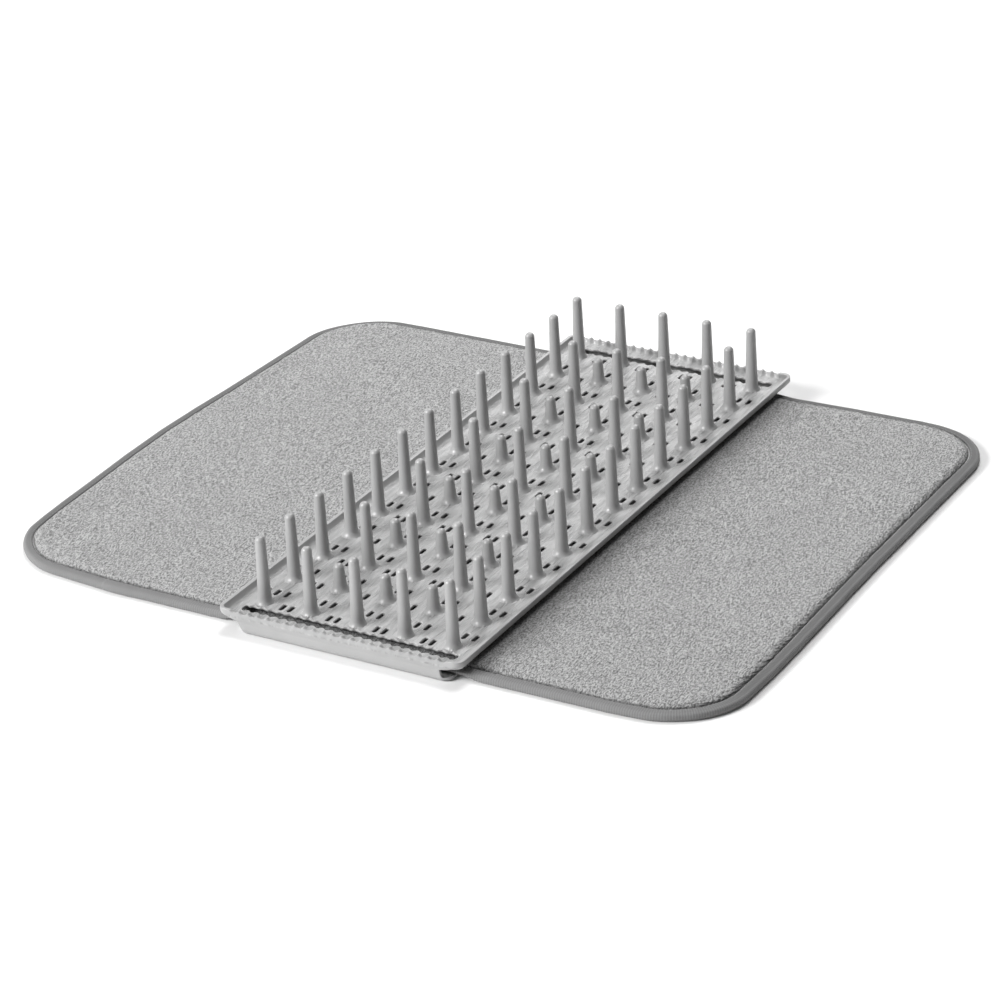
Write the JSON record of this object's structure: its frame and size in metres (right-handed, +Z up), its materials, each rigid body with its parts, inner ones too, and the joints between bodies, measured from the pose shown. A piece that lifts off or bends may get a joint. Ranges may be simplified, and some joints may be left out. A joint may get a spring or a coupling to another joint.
{
  "type": "bottle drying rack",
  "caption": "Fold-away drying rack: a moulded tray of upright tall and short pegs with drain slots, clipped round the long edges of an absorbent, foam-cored mat whose wings fold over it.",
  "frame": {"origin": "centre of the mat's underside, on the table", "axes": "+Z up, X along the mat's long side, Y across it; the pegs' rows run along Y"},
  "size_m": [0.605, 0.523, 0.0655],
  "materials": {
    "rack_plastic": "satin moulded polypropylene, light grey",
    "terry_pile": "short cut and looped microfibre terry, light grey",
    "foam": "soft open-cell foam",
    "backing_cloth": "plain open-mesh backing cloth, grey",
    "binding_tape": "ribbed woven binding tape, mid grey"
  },
  "bodies": {
    "mat_left_outer": {"terry_pile_left_outer": "terry_pile", "foam_core_left_outer": "foam", "backing_left_outer": "backing_cloth", "edge_binding_left_outer": "binding_tape"},
    "mat_left_inner": {"terry_pile_left_inner": "terry_pile", "foam_core_left_inner": "foam", "backing_left_inner": "backing_cloth", "edge_binding_left_inner": "binding_tape"},
    "mat_centre": {"terry_pile_centre": "terry_pile", "foam_core_centre": "foam", "backing_centre": "backing_cloth", "edge_binding_centre": "binding_tape"},
    "mat_right_inner": {"terry_pile_right_inner": "terry_pile", "foam_core_right_inner": "foam", "backing_right_inner": "backing_cloth", "edge_binding_right_inner": "binding_tape"},
    "mat_right_outer": {"terry_pile_right_outer": "terry_pile", "foam_core_right_outer": "foam", "backing_right_outer": "backing_cloth", "edge_binding_right_outer": "binding_tape"},
    "rack": {"peg_tray": "rack_plastic", "tall_pegs": "rack_plastic", "short_pegs": "rack_plastic"}
  },
  "joints": [
    {"name": "rack_slide", "type": "slide", "parent": "mat_centre", "child": "rack", "axis": [1, 0, 0], "range_m": [-0.005, 0.005]},
    {"name": "left_inner_fold", "type": "hinge", "parent": "mat_centre", "child": "mat_left_inner", "pos_m": [-0.0902, 0, 0.0086], "axis": [0, 1, 0], "range_deg": [0, 90]},
    {"name": "left_outer_fold", "type": "hinge", "parent": "mat_left_inner", "child": "mat_left_outer", "pos_m": [-0.1502, 0, 0.0086], "axis": [0, 1, 0], "range_deg": [0, 90]},
    {"name": "right_inner_fold", "type": "hinge", "parent": "mat_centre", "child": "mat_right_inner", "pos_m": [0.1258, 0, 0.0086], "axis": [0, -1, 0], "range_deg": [0, 90]},
    {"name": "right_outer_fold", "type": "hinge", "parent": "mat_right_inner", "child": "mat_right_outer", "pos_m": [0.1963, 0, 0.0086], "axis": [0, -1, 0], "range_deg": [0, 90]}
  ]
}
